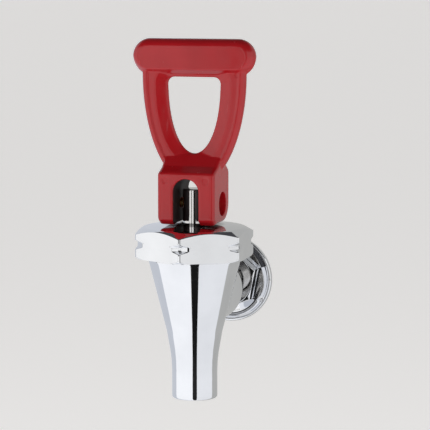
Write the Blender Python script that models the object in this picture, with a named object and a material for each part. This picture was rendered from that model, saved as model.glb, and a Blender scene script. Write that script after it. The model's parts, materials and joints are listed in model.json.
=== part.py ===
"""Self-closing dispenser faucet for a heated cheese tank, in metres, with +Z up.

The origin is on the shank's axis, where the flange gasket meets the tank wall. +Y points into
the tank and -Y to the user. The faucet's own axis is vertical. Heights of the pieces on that
axis are given from the top of the bonnet, and profiles are lists of (radius, height) in mm.
"""

import math

import bmesh
import bpy
from mathutils import Matrix, Vector

MM = 0.001
GAP = 0.3

# Where the two axes lie, in mm.
FAUCET_Y = -45.1
BONNET_TOP_Z = 24.9

# Round pieces are turned in this many steps.
LARGE_STEPS = 40
MEDIUM_STEPS = 28
SMALL_STEPS = 18

# Bonnet.
BONNET_FLATS = 35.5
BONNET_CORNER_R = 20.5
BONNET_GROOVE_R = 19.2
BONNET_HEIGHT = 11.7
BONNET_FIRST_CORNER_DEG = 32.8
BONNET_BORE_R = 15.2
BONNET_CEILING = -3.6
STEM_HOLE_R = 4.35

# Faucet body.
BODY_TOP = -6.0
THREAD_R = 14.9
BODY_R = 15.7
CONE_TAN = 0.2549
CONE_END = -37.0
SPOUT_R = 7.65
SPOUT_END = -59.6
OUTLET_R = 5.5
SEAT_H = -33.8
BOSS_R = 11.4
BOSS_END_Y = -26.2

# Stem, spring and seat cup.
STEM_R = 3.95
STEM_TOP = 11.4
SPRING_R = 5.2
SPRING_WIRE_R = 0.55
SPRING_TOP = -5.2
SPRING_BOTTOM = -26.3
SPRING_TURNS = 8
SPRING_CLOSED_GAP = 0.15

# Handle: heights are from the top of the bonnet, depths from its middle plane.
PIN_H = 6.5
PIN_R = 1.5
PIN_HALF_LENGTH = 6.7
HANDLE_TOP = 61.5
FOOT_HALF_WIDTH = 9.85
FOOT_FRONT = -10.3
FOOT_BACK = 7.9
FOOT_EDGE_R = 1.2
SLOT_HALF_WIDTH = 4.45
SLOT_TOP = 15.4
COUNTERBORE_R = 4.0
COUNTERBORE_DEPTH = 3.0
WINDOW_BOTTOM = 23.2
WINDOW_TOP = 48.7
WINDOW_HALF_WIDTH = 9.2
WINDOW_CORNER_R = 2.3
WINDOW_POWER = 2.3
RIM_WIDTH = 0.9
RIM_DEPTH = 1.0
SLOPE_WIDTH = 3.0
CREASE = 0.35
ARM_BOTTOM = 12.0
ARM_HALF_WIDTH = 18.05
ARM_DEPTH = 2.5
ARM_BEAD = 2.0
RING_TOP = 60.5
RING_END_X = 14.6
RING_END_R = 5.4
FLARE_DEG = 38.0
BAR_HALF_WIDTH = 21.3
BAR_BOTTOM = 49.0
BAR_SLOPE = 2.35
BAR_DEPTH = 3.7
BAR_BEAD = 3.0
BAR_TOP_R = 6.0
BAR_LOW_R = 6.4

# Shank and what clamps the tank wall.
SHANK_R = 5.5
SHANK_BORE_R = 3.6
SHANK_FRONT_Y = -34.6
SHANK_BACK_Y = 24.0
WALL_THICKNESS = 3.0
ESCUTCHEON_R = 15.3
GASKET_R = 13.0


def clear_scene():
    for obj in list(bpy.data.objects):
        bpy.data.objects.remove(obj, do_unlink=True)


def material(name, colour, roughness, metallic):
    made = bpy.data.materials.new(name)
    made.use_nodes = True
    shader = made.node_tree.nodes["Principled BSDF"]
    shader.inputs["Base Color"].default_value = (*colour, 1.0)
    shader.inputs["Roughness"].default_value = roughness
    shader.inputs["Metallic"].default_value = metallic
    return made


def add_object(name, mesh, finish, place, parent=None):
    obj = bpy.data.objects.new(name, mesh)
    bpy.context.scene.collection.objects.link(obj)
    obj.data.materials.append(finish)
    obj.location = Vector(place) * MM
    obj.parent = parent
    mesh.shade_smooth()
    mesh.set_sharp_from_angle(angle=math.radians(30))
    return obj


def add_cutter(name, mesh, place):
    cutter = bpy.data.objects.new(name, mesh)
    bpy.context.scene.collection.objects.link(cutter)
    cutter.location = Vector(place) * MM
    cutter.hide_render = True
    cutter.display_type = "WIRE"
    return cutter


def boolean(obj, tool, operation):
    modifier = obj.modifiers.new(tool.name, "BOOLEAN")
    modifier.object = tool
    modifier.operation = operation
    modifier.solver = "EXACT"


def arc(centre, radius, start_deg, end_deg, steps):
    """Points on a circle, from one angle to the other, both ends included."""
    angles = [start_deg + (end_deg - start_deg) * i / steps for i in range(steps + 1)]
    turns = [math.radians(angle) for angle in angles]
    return [(centre[0] + radius * math.cos(t), centre[1] + radius * math.sin(t)) for t in turns]


def finish_mesh(name, bm):
    bmesh.ops.remove_doubles(bm, verts=bm.verts, dist=1e-6)
    bmesh.ops.recalc_face_normals(bm, faces=bm.faces)
    mesh = bpy.data.meshes.new(name)
    bm.to_mesh(mesh)
    bm.free()
    return mesh


def turned(name, profile, steps):
    """A closed (radius, height) outline in mm, turned about Z."""
    bm = bmesh.new()
    verts = [bm.verts.new((r * MM, 0.0, h * MM)) for r, h in profile]
    edges = [bm.edges.new((verts[i - 1], verts[i])) for i in range(len(verts))]
    on_axis = [e for e in edges if max(v.co.x for v in e.verts) < 1e-9]
    for edge in on_axis:
        bm.edges.remove(edge)
    ring = [e for e in edges if e.is_valid]
    bmesh.ops.spin(bm, geom=verts + ring, cent=(0, 0, 0), axis=(0, 0, 1), angle=math.tau, steps=steps)
    return finish_mesh(name, bm)


def prism(name, outline, low, high):
    """A convex or simple (x, y) outline in mm, extruded along Z from low to high."""
    bm = bmesh.new()
    base = bm.faces.new([bm.verts.new((x * MM, y * MM, low * MM)) for x, y in outline])
    top = bmesh.ops.extrude_face_region(bm, geom=[base])
    moved = [item for item in top["geom"] if isinstance(item, bmesh.types.BMVert)]
    bmesh.ops.translate(bm, verts=moved, vec=(0, 0, (high - low) * MM))
    return finish_mesh(name, bm)


def hexagon(across_flats, first_corner_deg):
    return arc((0, 0), across_flats / math.sqrt(3), first_corner_deg, first_corner_deg + 300, 5)


def along_y(mesh):
    """Turns a mesh made along Z so that its heights run along +Y."""
    mesh.transform(Matrix.Rotation(math.radians(-90), 4, "X"))
    return mesh


def along_x(mesh):
    mesh.transform(Matrix.Rotation(math.radians(90), 4, "Y"))
    return mesh


def ring_profile(inner, outer, low, high, edge=0.25):
    """A washer's outline with small chamfers on its outer edges."""
    lower = [(inner, low), (outer - edge, low), (outer, low + edge)]
    return lower + [(outer, high - edge), (outer - edge, high), (inner, high)]


def hex_nut(name, flats, corner_deg, bore, low, high, finish, chamfer=1.0):
    """A nut on the shank: a turned blank with chamfered ends, cut to a hexagon."""
    corner = flats / math.sqrt(3)
    flat_r = flats / 2
    blank = [(bore, low), (flat_r - 0.2, low), (corner + 0.1, low + chamfer)]
    blank += [(corner + 0.1, high - chamfer), (flat_r - 0.2, high), (bore, high)]
    nut = add_object(name, along_y(turned(name, blank, MEDIUM_STEPS)), finish, (0, 0, 0))
    tool = along_y(prism(name + "_flats", hexagon(flats, corner_deg), low - 1, high + 1))
    boolean(nut, add_cutter(name + "_flats", tool, (0, 0, 0)), "INTERSECT")


def on_faucet_axis(height=0.0):
    return (0, FAUCET_Y, BONNET_TOP_Z + height)


def bonnet_profile():
    groove = [(BONNET_CORNER_R, -5.3), (BONNET_GROOVE_R, -6.1)]
    groove += [(BONNET_GROOVE_R, -7.6), (BONNET_CORNER_R, -8.4)]
    top = [(STEM_HOLE_R, -0.1), (8.0, -0.45), (12.5, -0.9), (16.9, -1.4), (17.5, -1.65)]
    top += [(BONNET_CORNER_R, -3.4)]
    bottom = [(BONNET_CORNER_R, -11.1), (BONNET_CORNER_R - 1.0, -BONNET_HEIGHT)]
    bottom += [(BONNET_BORE_R, -BONNET_HEIGHT)]
    inside = [(BONNET_BORE_R, BONNET_CEILING), (STEM_HOLE_R, BONNET_CEILING)]
    return top + groove + bottom + inside


def build_bonnet(chrome):
    mesh = turned("bonnet", bonnet_profile(), LARGE_STEPS)
    bonnet = add_object("bonnet", mesh, chrome, on_faucet_axis())
    flats = prism("bonnet_flats", hexagon(BONNET_FLATS, BONNET_FIRST_CORNER_DEG), -20, 8)
    boolean(bonnet, add_cutter("bonnet_flats", flats, on_faucet_axis()), "INTERSECT")


def body_profile():
    """The outside: bonnet thread, long cone, then the straight spout."""
    cone_end_r = BODY_R - (-12.0 - CONE_END) * CONE_TAN
    thread = [(0, BODY_TOP), (THREAD_R - 0.4, BODY_TOP), (THREAD_R, BODY_TOP - 0.4), (THREAD_R, -12.0)]
    cone = [(BODY_R - 0.15, -12.0), (BODY_R, -12.2), (cone_end_r, CONE_END)]
    neck = [(8.75, -40.4), (8.2, -43.5), (7.8, -46.8), (SPOUT_R, -50.0)]
    spout = [(SPOUT_R, SPOUT_END + 1.0), (SPOUT_R - 0.3, SPOUT_END + 0.3), (SPOUT_R - 1.0, SPOUT_END)]
    return thread + cone + neck + spout + [(0, SPOUT_END)]


def boss_mesh(boss_end):
    """The round boss that the shank screws into, along +Y from the faucet's axis."""
    profile = [(0, 4.0), (BOSS_R, 4.0), (BOSS_R, boss_end - 0.8), (BOSS_R - 0.25, boss_end - 0.25)]
    profile += [(BOSS_R - 0.8, boss_end), (0, boss_end)]
    return along_y(turned("boss", profile, LARGE_STEPS))


def hollow_mesh():
    """The chamber that the seat cup stands in, down to its seat, and the outlet below it."""
    profile = [(0, BODY_TOP + 1), (11.8, BODY_TOP + 1), (11.8, -14.0), (9.4, -31.0), (8.6, SEAT_H)]
    profile += [(OUTLET_R, SEAT_H), (OUTLET_R, SPOUT_END - 1), (0, SPOUT_END - 1)]
    return turned("body_hollow", profile, MEDIUM_STEPS)


def port_mesh(boss_end):
    """The shank's threaded hole, and the narrower way on into the chamber."""
    thread_bottom = SHANK_FRONT_Y - FAUCET_Y - 0.5
    profile = [(0, 5.0), (4.2, 5.0), (4.2, thread_bottom), (SHANK_R + GAP, thread_bottom)]
    profile += [(SHANK_R + GAP, boss_end + 1), (0, boss_end + 1)]
    return along_y(turned("body_port", profile, SMALL_STEPS))


def build_body(chrome):
    mesh = turned("faucet_body", body_profile(), LARGE_STEPS)
    body = add_object("faucet_body", mesh, chrome, on_faucet_axis())
    boss_end = BOSS_END_Y - FAUCET_Y
    on_shank_axis = (0, FAUCET_Y, 0)
    boolean(body, add_cutter("boss", boss_mesh(boss_end), on_shank_axis), "UNION")
    boolean(body, add_cutter("body_hollow", hollow_mesh(), on_faucet_axis()), "DIFFERENCE")
    boolean(body, add_cutter("body_port", port_mesh(boss_end), on_shank_axis), "DIFFERENCE")


def build_seals(silicone, plastic):
    cup = [(8.2, -4.7), (14.2, -4.7), (14.2, -5.7), (9.4, -5.7), (9.1, -6.6), (7.6, -31.0)]
    cup += [(6.9, -33.5), (0, -33.5), (0, -31.9), (5.4, -31.9), (5.4, -30.4), (4.4, -30.0)]
    cup += [(4.4, -29.3), (6.2, -29.1), (6.6, -26.5)]
    add_object("seat_cup", turned("seat_cup", cup, MEDIUM_STEPS), silicone, on_faucet_axis())
    friction = ring_profile(8.4, 14.2, -4.4, BONNET_CEILING - GAP, 0.15)
    add_object("friction_ring", turned("friction_ring", friction, MEDIUM_STEPS), plastic, on_faucet_axis())


def coil_height(turn):
    """The height of the spring wire's middle: one closed turn at each end, and open turns between."""
    closed_pitch = 2 * SPRING_WIRE_R + SPRING_CLOSED_GAP
    open_turns = SPRING_TURNS - 2
    rise = SPRING_TOP - SPRING_BOTTOM - 2 * SPRING_WIRE_R - 2 * closed_pitch
    low = min(turn, 1.0) * closed_pitch
    live = min(max(turn - 1.0, 0.0), open_turns) * rise / open_turns
    high = max(turn - 1.0 - open_turns, 0.0) * closed_pitch
    return SPRING_BOTTOM + SPRING_WIRE_R + low + live + high


def helix_mesh(name, sides=6, steps_per_turn=14):
    """A compression spring whose end turns lie closed, swept as one tube with flat ends."""
    bm = bmesh.new()
    rings = []
    for i in range(SPRING_TURNS * steps_per_turn + 1):
        turn = i / steps_per_turn
        outward = Vector((math.cos(math.tau * turn), math.sin(math.tau * turn), 0))
        middle = outward * SPRING_R + Vector((0, 0, coil_height(turn)))
        ring = []
        for x, z in arc((0, 0), SPRING_WIRE_R, 0, 360 * (sides - 1) / sides, sides - 1):
            ring.append(bm.verts.new((middle + outward * x + Vector((0, 0, z))) * MM))
        rings.append(ring)
    for ring, following in zip(rings, rings[1:]):
        for k in range(sides):
            bm.faces.new((ring[k - 1], ring[k], following[k], following[k - 1]))
    bm.faces.new(rings[0])
    bm.faces.new(rings[-1])
    return finish_mesh(name, bm)


def build_spring(steel, pivot):
    add_object("spring", helix_mesh("spring"), steel, (0, 0, 0), pivot)
    washer = ring_profile(4.3, 7.4, -4.8, BONNET_CEILING - GAP, 0.15)
    add_object("spring_top_washer", turned("spring_top_washer", washer, SMALL_STEPS), steel, (0, 0, 0), pivot)


def build_stem(steel, pivot):
    top = [(0, STEM_TOP), (STEM_R - 0.6, STEM_TOP), (STEM_R, STEM_TOP - 0.6)]
    shoulder = [(STEM_R, -27.7), (5.6, -27.7), (5.6, -28.9), (STEM_R, -28.9)]
    button = [(STEM_R, -30.6), (5.0, -30.6), (5.0, -31.3), (4.7, -31.6), (0, -31.6)]
    stem = add_object("stem", turned("stem", top + shoulder + button, MEDIUM_STEPS), steel, (0, 0, 0), pivot)
    hole = [(0, -6), (PIN_R + GAP, -6), (PIN_R + GAP, 6), (0, 6)]
    tool = along_x(turned("stem_pin_hole", hole, SMALL_STEPS))
    boolean(stem, add_cutter("stem_pin_hole", tool, on_faucet_axis(PIN_H)), "DIFFERENCE")
    washer = ring_profile(4.25, 5.9, -27.4, -26.6, 0.15)
    add_object("spring_follower", turned("spring_follower", washer, SMALL_STEPS), steel, (0, 0, 0), pivot)


def top_pairs(corner_steps, end_steps, top_steps):
    """Half of the ring's top, from the arm to the middle: matching window and outside points."""
    end_centre = (RING_END_X, RING_TOP - RING_END_R)
    flare_turn = math.radians(FLARE_DEG)
    reach = RING_END_R * math.cos(flare_turn) + RING_END_X - ARM_HALF_WIDTH
    flare_r = reach / (1 - math.cos(flare_turn))
    flare_h = end_centre[1] - (RING_END_R + flare_r) * math.sin(flare_turn)
    flare = arc((ARM_HALF_WIDTH + flare_r, flare_h), flare_r, 180, 180 - FLARE_DEG, corner_steps)
    low_end = arc(end_centre, RING_END_R, -FLARE_DEG, 45, corner_steps)[1:]
    high_end = arc(end_centre, RING_END_R, 45, 90, end_steps)[1:]
    top = [(RING_END_X * (1 - k / top_steps), RING_TOP) for k in range(1, top_steps + 1)]
    corner_x = WINDOW_HALF_WIDTH - WINDOW_CORNER_R
    corner = arc((corner_x, WINDOW_TOP - WINDOW_CORNER_R), WINDOW_CORNER_R, 0, 90, 2 * corner_steps)
    across = end_steps + top_steps
    inner_top = [(corner_x * (1 - k / across), WINDOW_TOP) for k in range(1, across + 1)]
    return list(zip(corner + inner_top, flare + low_end + high_end + top)), flare_h


def arm_pairs(arm_steps, outer_top):
    """One arm, from the middle of its bottom up: matching points on the window and on the outside."""
    pairs = []
    rise_end = (WINDOW_TOP - WINDOW_CORNER_R - WINDOW_BOTTOM) / (WINDOW_TOP - WINDOW_BOTTOM)
    for i in range(arm_steps):
        rise = (i / arm_steps) ** 1.6 * rise_end
        inner_x = WINDOW_HALF_WIDTH * math.sqrt(1 - (1 - rise) ** WINDOW_POWER)
        inner_h = WINDOW_BOTTOM + rise * (WINDOW_TOP - WINDOW_BOTTOM)
        turn = math.radians(90) * (i / arm_steps)
        outer_h = outer_top - (outer_top - ARM_BOTTOM) * math.cos(turn)
        pairs.append(((inner_x, inner_h), (ARM_HALF_WIDTH * math.sin(turn), outer_h)))
    return pairs


def normals(loop):
    """The unit normals of a closed counter-clockwise (x, height) loop, pointing outwards."""
    found = []
    for i, _ in enumerate(loop):
        before, after = Vector(loop[i - 1]), Vector(loop[(i + 1) % len(loop)])
        along = (after - before).normalized()
        found.append(Vector((along.y, -along.x)))
    return found


def ring_section(bead_steps):
    """Half of the ring's section: the edge measured from, the distance in from it, and the depth."""
    turns = [math.pi / 2 * k / bead_steps for k in range(bead_steps + 1)]
    outer = [("outer", ARM_BEAD * (1 - math.cos(t)), ARM_DEPTH * math.sin(t)) for t in turns]
    flat = ARM_DEPTH - CREASE
    crease = [("outer", ARM_BEAD + CREASE, flat)]
    slope = [("inner", RIM_WIDTH + SLOPE_WIDTH, flat), ("inner", RIM_WIDTH, RIM_DEPTH)]
    return outer + crease + slope + [("inner", 0.0, RIM_DEPTH * 0.6)]


def ring_loop(inner, outer, inner_normal, outer_normal, bead_steps):
    """One section's points round the ring's material, front half first, relative to the pin."""
    half = []
    for edge, distance, depth in ring_section(bead_steps):
        place = Vector(outer) - outer_normal * distance
        if edge == "inner":
            place = Vector(inner) + inner_normal * distance
        half.append(Vector((place.x, -depth, place.y - PIN_H)) * MM)
    back = [Vector((p.x, -p.y, p.z)) for p in half[:0:-1]]
    return half + back


def handle_ring(arm_steps=9, corner_steps=2, end_steps=2, top_steps=3, bead_steps=2):
    """The two arms and what joins them round the window, as one closed loop of sections."""
    top, outer_top = top_pairs(corner_steps, end_steps, top_steps)
    right = arm_pairs(arm_steps, outer_top) + top
    left = [((-i[0], i[1]), (-o[0], o[1])) for i, o in right[-2:0:-1]]
    inner = [pair[0] for pair in right + left]
    outer = [pair[1] for pair in right + left]
    bm = bmesh.new()
    rings = []
    for i, o, inner_n, outer_n in zip(inner, outer, normals(inner), normals(outer)):
        rings.append([bm.verts.new(point) for point in ring_loop(i, o, inner_n, outer_n, bead_steps)])
    for i, ring in enumerate(rings):
        before = rings[i - 1]
        for k, vert in enumerate(ring):
            bm.faces.new((before[k - 1], before[k], vert, ring[k - 1]))
    return finish_mesh("handle", bm)


def stacked(name, rings):
    """Closed loops of points in mm, joined in order and capped at both ends."""
    bm = bmesh.new()
    made = [[bm.verts.new(Vector(point) * MM) for point in ring] for ring in rings]
    for ring, following in zip(made, made[1:]):
        for k, vert in enumerate(ring):
            bm.faces.new((ring[k - 1], vert, following[k], following[k - 1]))
    bm.faces.new(made[0])
    bm.faces.new(made[-1])
    return finish_mesh(name, bm)


def bar_outline(inset, rise, steps):
    """The grip bar from the front, drawn in from its edges, and up from its lower one."""
    half, top, low = BAR_HALF_WIDTH - inset, HANDLE_TOP - inset, BAR_BOTTOM + rise
    top_r, low_r = BAR_TOP_R - inset, BAR_LOW_R - inset
    outline = arc((half - top_r, top - top_r), top_r, 0, 90, steps)
    outline += arc((top_r - half, top - top_r), top_r, 90, 180, steps)
    outline += arc((low_r - half, low + low_r), low_r, 180, 270, steps)
    return outline + arc((half - low_r, low + low_r), low_r, 270, 360, steps)


def bar_mesh(bead_steps=3, corner_steps=4):
    """The grip bar: rounded over its top and ends, with flat faces and a slope under them."""
    turns = [math.pi / 2 * k / bead_steps for k in range(-bead_steps, bead_steps + 1)]
    rings = []
    for turn in turns:
        depth = BAR_DEPTH * math.sin(turn)
        rise = BAR_SLOPE * abs(depth) / BAR_DEPTH
        outline = bar_outline(BAR_BEAD * (1 - math.cos(turn)), rise, corner_steps)
        rings.append([(x, depth, h - PIN_H) for x, h in outline])
    return stacked("handle_bar", rings)


def foot_outline():
    """The foot from the side, as (depth, height above the pin), with ramped shoulders."""
    bottom = GAP - PIN_H
    front = [(-4.5, bottom), (-8.1, bottom - 0.32), (FOOT_FRONT + 0.3, 1.3 - PIN_H)]
    front += [(FOOT_FRONT, 2.1 - PIN_H)]
    front += [(FOOT_FRONT, 16.9 - PIN_H), (FOOT_FRONT + 0.5, 17.5 - PIN_H), (-5.6, 19.3 - PIN_H)]
    front += [(-1.2, WINDOW_BOTTOM - 0.2 - PIN_H)]
    back = [(1.2, WINDOW_BOTTOM - 0.2 - PIN_H), (4.6, 19.6 - PIN_H), (FOOT_BACK - 0.5, 17.8 - PIN_H)]
    rolling = arc((FOOT_BACK - 6.0, 6.0 + bottom), 6.0, 0, -90, 4)
    return front + back + [(FOOT_BACK, 17.0 - PIN_H)] + rolling


def foot_mesh(edge_steps=2):
    """The foot's outline, swept across the handle, with its edges rounded at both sides."""
    outline = [Vector(point) for point in foot_outline()]
    low = Vector((min(p.x for p in outline), min(p.y for p in outline)))
    high = Vector((max(p.x for p in outline), max(p.y for p in outline)))
    middle, half = (low + high) / 2, (high - low) / 2
    turns = [math.pi / 2 * k / edge_steps for k in range(edge_steps + 1)]
    edge = [(FOOT_EDGE_R * (1 - math.sin(t)), FOOT_EDGE_R * (1 - math.cos(t))) for t in turns]
    slices = [(FOOT_HALF_WIDTH - across, inset) for across, inset in edge]
    slices = [(-x, inset) for x, inset in slices[::-1]] + slices
    rings = []
    for x, inset in slices:
        scale = Vector((1 - inset / half.x, 1 - inset / half.y))
        places = [middle + (p - middle) * scale for p in outline]
        rings.append([(x, p.x, p.y) for p in places])
    return stacked("handle_foot", rings)


def slot_mesh():
    """The arched slot that takes the stem, open at the bottom and from front to back."""
    arch = arc((0, SLOT_TOP - SLOT_HALF_WIDTH - PIN_H), SLOT_HALF_WIDTH, 0, 180, 8)
    outline = [(-SLOT_HALF_WIDTH, -PIN_H - 2), (SLOT_HALF_WIDTH, -PIN_H - 2)] + arch
    mesh = prism("handle_slot", outline, -14, 14)
    mesh.transform(Matrix.Rotation(math.radians(90), 4, "X"))
    return mesh


def pin_hole_mesh():
    """The pin's hole right across the foot, with a wider counterbore at each side."""
    step = FOOT_HALF_WIDTH - COUNTERBORE_DEPTH
    hole_r = PIN_R + GAP
    bore = [(0, -12), (COUNTERBORE_R, -12), (COUNTERBORE_R, -step), (hole_r, -step)]
    bore += [(hole_r, step), (COUNTERBORE_R, step), (COUNTERBORE_R, 12), (0, 12)]
    return along_x(turned("handle_pin_hole", bore, SMALL_STEPS))


def build_handle(plastic, brass, pivot):
    handle = add_object("handle", handle_ring(), plastic, (0, 0, 0), pivot)
    place = on_faucet_axis(PIN_H)
    boolean(handle, add_cutter("handle_bar", bar_mesh(), place), "UNION")
    boolean(handle, add_cutter("handle_foot", foot_mesh(), place), "UNION")
    boolean(handle, add_cutter("handle_slot", slot_mesh(), place), "DIFFERENCE")
    boolean(handle, add_cutter("handle_pin_hole", pin_hole_mesh(), place), "DIFFERENCE")
    end = PIN_HALF_LENGTH
    pin = [(0, -end), (PIN_R - 0.2, -end), (PIN_R, -end + 0.2)]
    pin += [(PIN_R, end - 0.2), (PIN_R - 0.2, end), (0, end)]
    mesh = along_x(turned("handle_pin", pin, SMALL_STEPS))
    add_object("handle_pin", mesh, brass, (0, 0, 0), pivot)


def build_shank(steel):
    """A threaded tube, its threads left as a plain surface at their outer radius."""
    front = [(SHANK_BORE_R, SHANK_FRONT_Y), (SHANK_R - 0.5, SHANK_FRONT_Y)]
    front += [(SHANK_R, SHANK_FRONT_Y + 0.5)]
    back = [(SHANK_R, SHANK_BACK_Y - 0.5), (SHANK_R - 0.5, SHANK_BACK_Y)]
    profile = front + back + [(SHANK_BORE_R, SHANK_BACK_Y)]
    add_object("shank", along_y(turned("shank", profile, MEDIUM_STEPS)), steel, (0, 0, 0))


def build_escutcheon(chrome):
    """A dished round plate: flat in the middle, with a rolled rim that stands forward."""
    inner = SHANK_R + GAP
    profile = [(inner, -3.1), (12.6, -3.1), (13.6, -3.5), (14.2, -4.0), (14.7, -4.2)]
    profile += [(15.15, -4.0), (ESCUTCHEON_R, -3.5), (ESCUTCHEON_R, -2.3), (15.0, -1.8)]
    profile += [(inner, -1.8)]
    add_object("escutcheon", along_y(turned("escutcheon", profile[::-1], LARGE_STEPS)), chrome, (0, 0, 0))


def build_wall_clamp(rubber, steel, chrome):
    """What sits on the shank, from the faucet's boss to the far side of the tank wall."""
    bore = SHANK_R + GAP
    seal_front = BOSS_END_Y + GAP
    washers = {
        "shank_seal_washer": (10.9, seal_front, seal_front + 2.0, rubber),
        "flange_gasket": (GASKET_R, -1.5, 0.0, rubber),
        "inner_gasket": (GASKET_R, WALL_THICKNESS, WALL_THICKNESS + 1.6, rubber),
        "backing_washer": (12.0, WALL_THICKNESS + 1.9, WALL_THICKNESS + 3.3, steel),
    }
    for name, (outer, low, high, finish) in washers.items():
        mesh = along_y(turned(name, ring_profile(bore, outer, low, high, 0.2), MEDIUM_STEPS))
        add_object(name, mesh, finish, (0, 0, 0))
    jam_low = seal_front + 2.0 + GAP
    hex_nut("shank_jam_nut", 16.0, 0.0, bore, jam_low, jam_low + 4.5, steel)
    hex_nut("outer_nut", 18.7, 40.9, bore, -7.4, -3.4, chrome, 0.7)
    lock_low = WALL_THICKNESS + 3.6
    hex_nut("lock_nut", 19.0, 0.0, bore, lock_low, lock_low + 5.5, steel)


def pivot_at(name, place):
    empty = bpy.data.objects.new(name, None)
    bpy.context.scene.collection.objects.link(empty)
    empty.location = Vector(place) * MM
    return empty


def main():
    clear_scene()
    chrome = material("chrome_plate", (0.80, 0.81, 0.82), 0.04, 1.0)
    steel = material("stainless_steel", (0.66, 0.66, 0.65), 0.18, 1.0)
    red = material("red_plastic", (0.52, 0.025, 0.035), 0.28, 0.0)
    brass = material("brass", (0.78, 0.55, 0.22), 0.2, 1.0)
    rubber = material("black_rubber", (0.02, 0.02, 0.022), 0.6, 0.0)
    silicone = material("clear_silicone", (0.78, 0.78, 0.74), 0.45, 0.0)
    plastic = material("white_acetal", (0.85, 0.85, 0.82), 0.4, 0.0)
    build_bonnet(chrome)
    build_body(chrome)
    build_seals(silicone, plastic)
    lift_pivot = pivot_at("faucet_axis", on_faucet_axis())
    tilt_pivot = pivot_at("pin_axis", on_faucet_axis(PIN_H))
    build_spring(steel, lift_pivot)
    build_stem(steel, lift_pivot)
    build_handle(red, brass, tilt_pivot)
    build_shank(steel)
    build_escutcheon(chrome)
    build_wall_clamp(rubber, steel, chrome)


main()
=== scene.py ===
"""The looks of the dispenser faucet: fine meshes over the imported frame, materials, light and camera."""

import json
import math

import bmesh
import bpy
from mathutils import Matrix, Vector


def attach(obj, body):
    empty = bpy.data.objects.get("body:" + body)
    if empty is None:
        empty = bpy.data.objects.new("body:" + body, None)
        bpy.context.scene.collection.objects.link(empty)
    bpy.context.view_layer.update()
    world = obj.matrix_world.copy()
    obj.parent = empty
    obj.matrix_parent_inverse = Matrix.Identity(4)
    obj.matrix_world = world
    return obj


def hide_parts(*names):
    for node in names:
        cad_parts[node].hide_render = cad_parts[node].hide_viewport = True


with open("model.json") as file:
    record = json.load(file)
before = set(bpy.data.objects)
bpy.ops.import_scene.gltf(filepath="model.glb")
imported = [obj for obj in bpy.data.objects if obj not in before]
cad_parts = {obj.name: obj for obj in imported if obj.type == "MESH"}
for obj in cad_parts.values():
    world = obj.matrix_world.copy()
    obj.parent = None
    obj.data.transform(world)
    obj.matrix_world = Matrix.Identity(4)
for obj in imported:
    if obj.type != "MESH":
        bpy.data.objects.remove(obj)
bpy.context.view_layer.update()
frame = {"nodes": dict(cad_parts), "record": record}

MM = 0.001

JOINTS = {joint["name"]: joint for joint in frame["record"]["behaviour"]["joints"]}
BONNET_TOP = Vector(JOINTS["handle_swivel"]["pos_m"])
PIN = Vector(JOINTS["handle_tilt"]["pos_m"])
SHANK_AXIS = Vector((0, 0, 0))
FAUCET_Y = BONNET_TOP.y / MM
GAP = 0.3

# The handle, in mm: heights are from the top of the bonnet, depths from its middle plane.
PIN_H = (PIN.z - BONNET_TOP.z) / MM
PIN_R = 1.5
PIN_HALF_LENGTH = 6.7
HANDLE_TOP = 61.5
FOOT_HALF_WIDTH = 9.85
FOOT_FRONT = -10.3
FOOT_BACK = 7.9
FOOT_EDGE_R = 1.2
ROLLING_R = 6.0
SLOT_HALF_WIDTH = 4.45
SLOT_TOP = 15.4
COUNTERBORE_R = 4.0
COUNTERBORE_DEPTH = 3.0
WINDOW_BOTTOM = 23.2
WINDOW_TOP = 48.7
WINDOW_HALF_WIDTH = 9.2
WINDOW_CORNER_R = 2.3
WINDOW_POWER = 2.3
RIM_WIDTH = 0.9
RIM_DEPTH = 1.0
SLOPE_WIDTH = 3.0
CREASE = 0.35
ARM_BOTTOM = 12.0
ARM_HALF_WIDTH = 18.05
ARM_DEPTH = 2.5
ARM_BEAD = 2.0
RING_TOP = 60.5
RING_END_X = 14.6
RING_END_R = 5.4
FLARE_DEG = 38.0
BAR_HALF_WIDTH = 21.3
BAR_BOTTOM = 49.0
BAR_SLOPE = 2.35
BAR_DEPTH = 3.7
BAR_BEAD = 3.0
BAR_TOP_R = 6.0
BAR_LOW_R = 6.4
HANDLE_VOXEL = 0.24
HANDLE_SMOOTHING = 5
# Round ejector-pin marks: middle (across, height above the bonnet), radius, depth.
PIN_MARKS = [((-7.0, 15.0), 1.15, 0.14), ((7.0, 15.0), 1.15, 0.14), ((15.4, 49.6), 0.75, 0.16)]

# The other pieces, in mm.
BONNET_FLATS = 35.9
BONNET_CORNER_R = 20.5
BONNET_GROOVE_R = 19.2
BONNET_HEIGHT = 11.7
BONNET_FIRST_CORNER_DEG = 32.8
STEM_HOLE_R = 4.35
STEM_R = 3.95
STEM_TOP = 11.4
BODY_R = 15.7
CONE_TOP = -12.0
CONE_TAN = 0.2549
CONE_END = -37.0
SPOUT_R = 7.65
SPOUT_END = -59.6
OUTLET_R = 5.5
BOSS_R = 11.4
BOSS_END_Y = -26.2
SHANK_R = 5.5
SHANK_BORE_R = 3.6
SHANK_FRONT_Y = -34.6
SHANK_BACK_Y = 24.0
SHANK_CHAMFER = 0.8
THREAD_PITCH = 1.27
THREAD_DEPTH = 0.55
FINE_STEPS = 144
EDGE_BLEND = 0.12
MERGE_DISTANCE = 1e-6
# Painted shade: where it starts inside the slot, in from the foot's front, in mm.
SLOT_SHADE_START = 0.9
# Painted shade round the stem's hole: full out to the first radius, fading out by the second, in mm.
STEM_SHADE_R = 8.0
STEM_SHADE_END_R = 10.5


# Meshes -------------------------------------------------------------------------------------


def linked(name, data):
    """A new object in the scene for a mesh, light or camera."""
    obj = bpy.data.objects.new(name, data)
    bpy.context.scene.collection.objects.link(obj)
    return obj


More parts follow.
